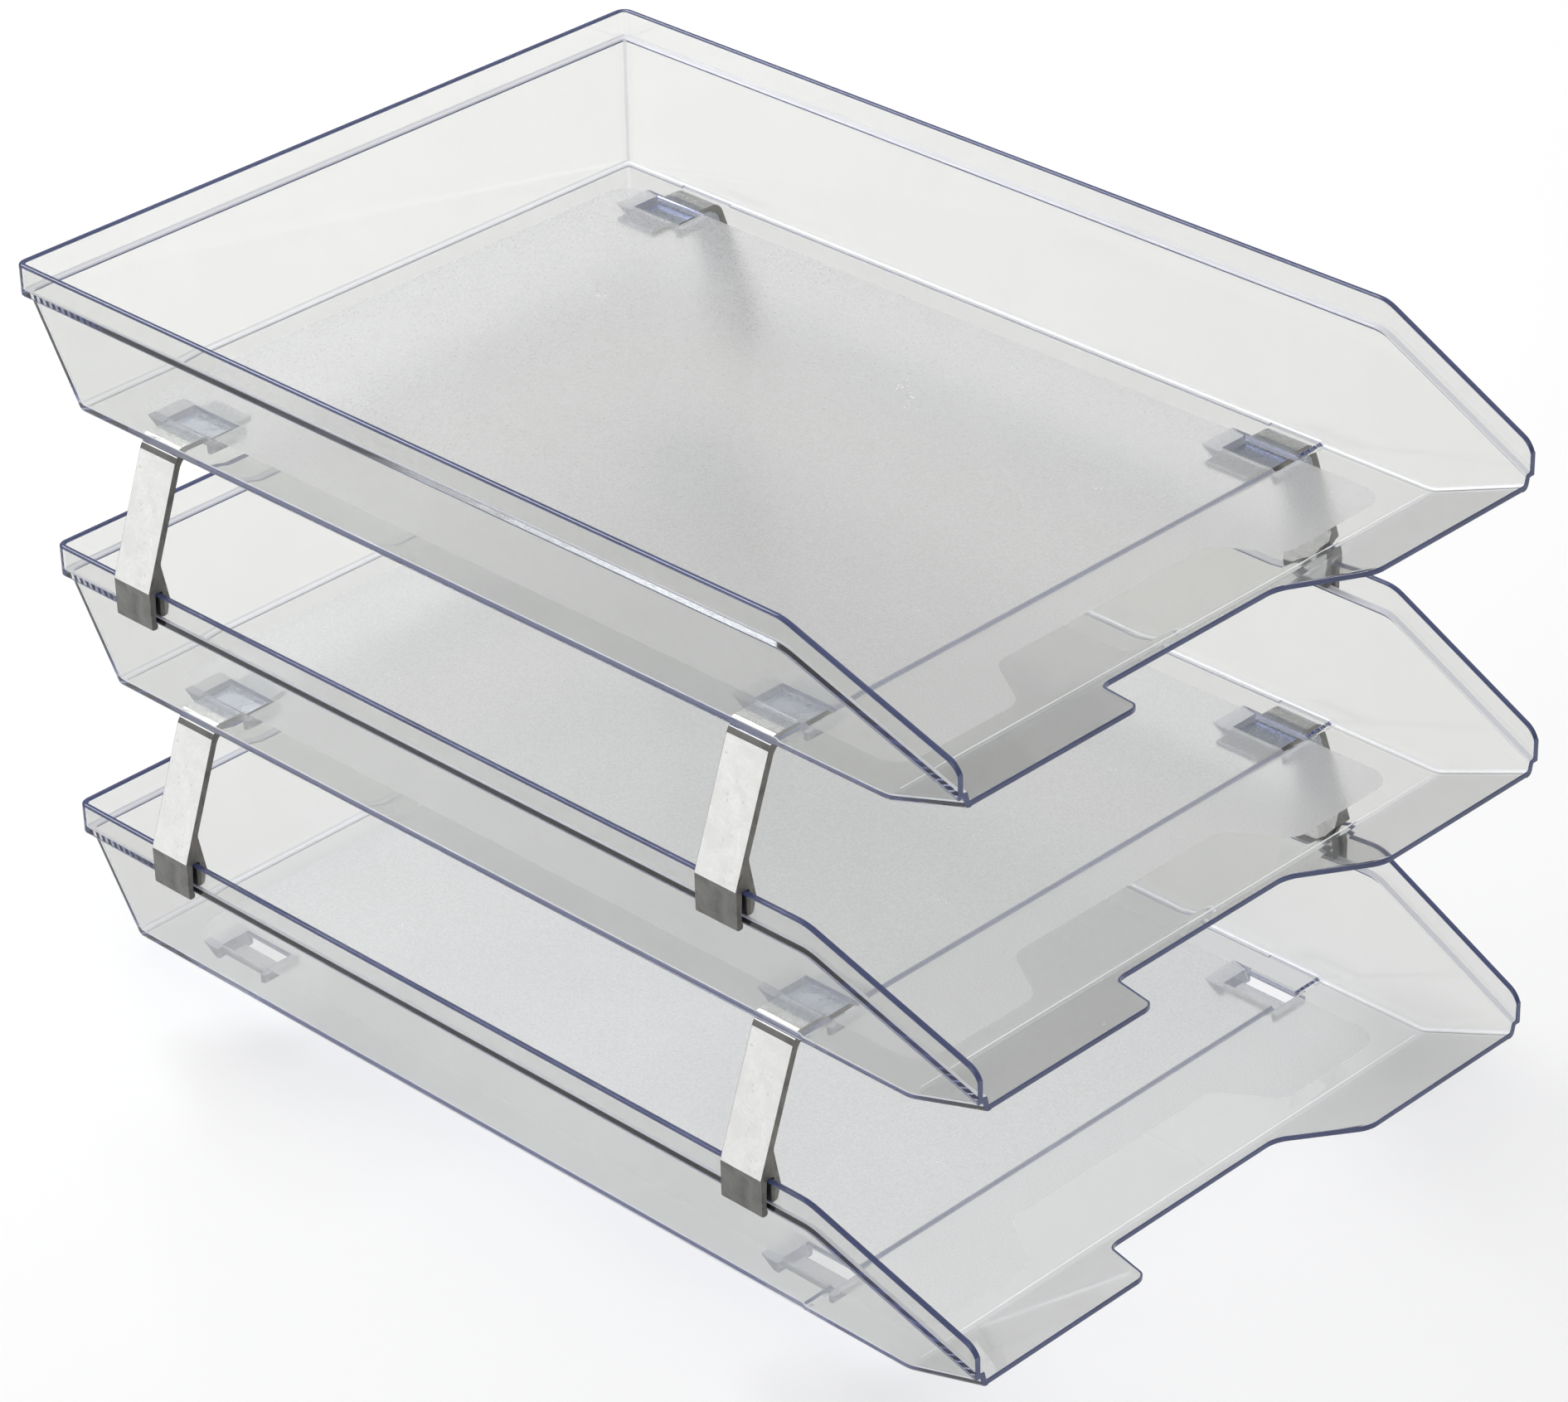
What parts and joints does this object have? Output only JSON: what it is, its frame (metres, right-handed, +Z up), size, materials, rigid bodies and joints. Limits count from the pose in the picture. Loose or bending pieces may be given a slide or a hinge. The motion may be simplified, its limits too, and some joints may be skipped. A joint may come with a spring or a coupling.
{
  "type": "stacking letter tray",
  "caption": "Stack of clear open-front letter trays with leaning walls and a finger cut-out, carried one above another on forked clip-on metal risers.",
  "frame": {"origin": "centre of the footprint, on the plane the bottom tray stands on", "axes": "+Z up, +X to the right of someone facing the open front, +Y towards the back walls, so the open front faces -Y"},
  "size_m": [0.2606, 0.3866, 0.2403],
  "materials": {
    "clear_plastic": "clear glossy moulding, floor finely frosted",
    "riser_metal": "bare extruded metal, satin, smudged"
  },
  "bodies": {
    "bottom": {"tray_bottom": "clear_plastic"},
    "middle": {"tray_middle": "clear_plastic", "riser_lower_back_left": "riser_metal", "riser_lower_back_right": "riser_metal", "riser_lower_front_left": "riser_metal", "riser_lower_front_right": "riser_metal"},
    "top": {"tray_top": "clear_plastic", "riser_upper_back_left": "riser_metal", "riser_upper_back_right": "riser_metal", "riser_upper_front_left": "riser_metal", "riser_upper_front_right": "riser_metal"}
  },
  "joints": [
    {"name": "middle_lift", "type": "slide", "parent": "bottom", "child": "middle", "axis": [0, 0, 1], "range_m": [0, 0.06]},
    {"name": "top_lift", "type": "slide", "parent": "middle", "child": "top", "axis": [0, 0, 1], "range_m": [0, 0.06]}
  ]
}
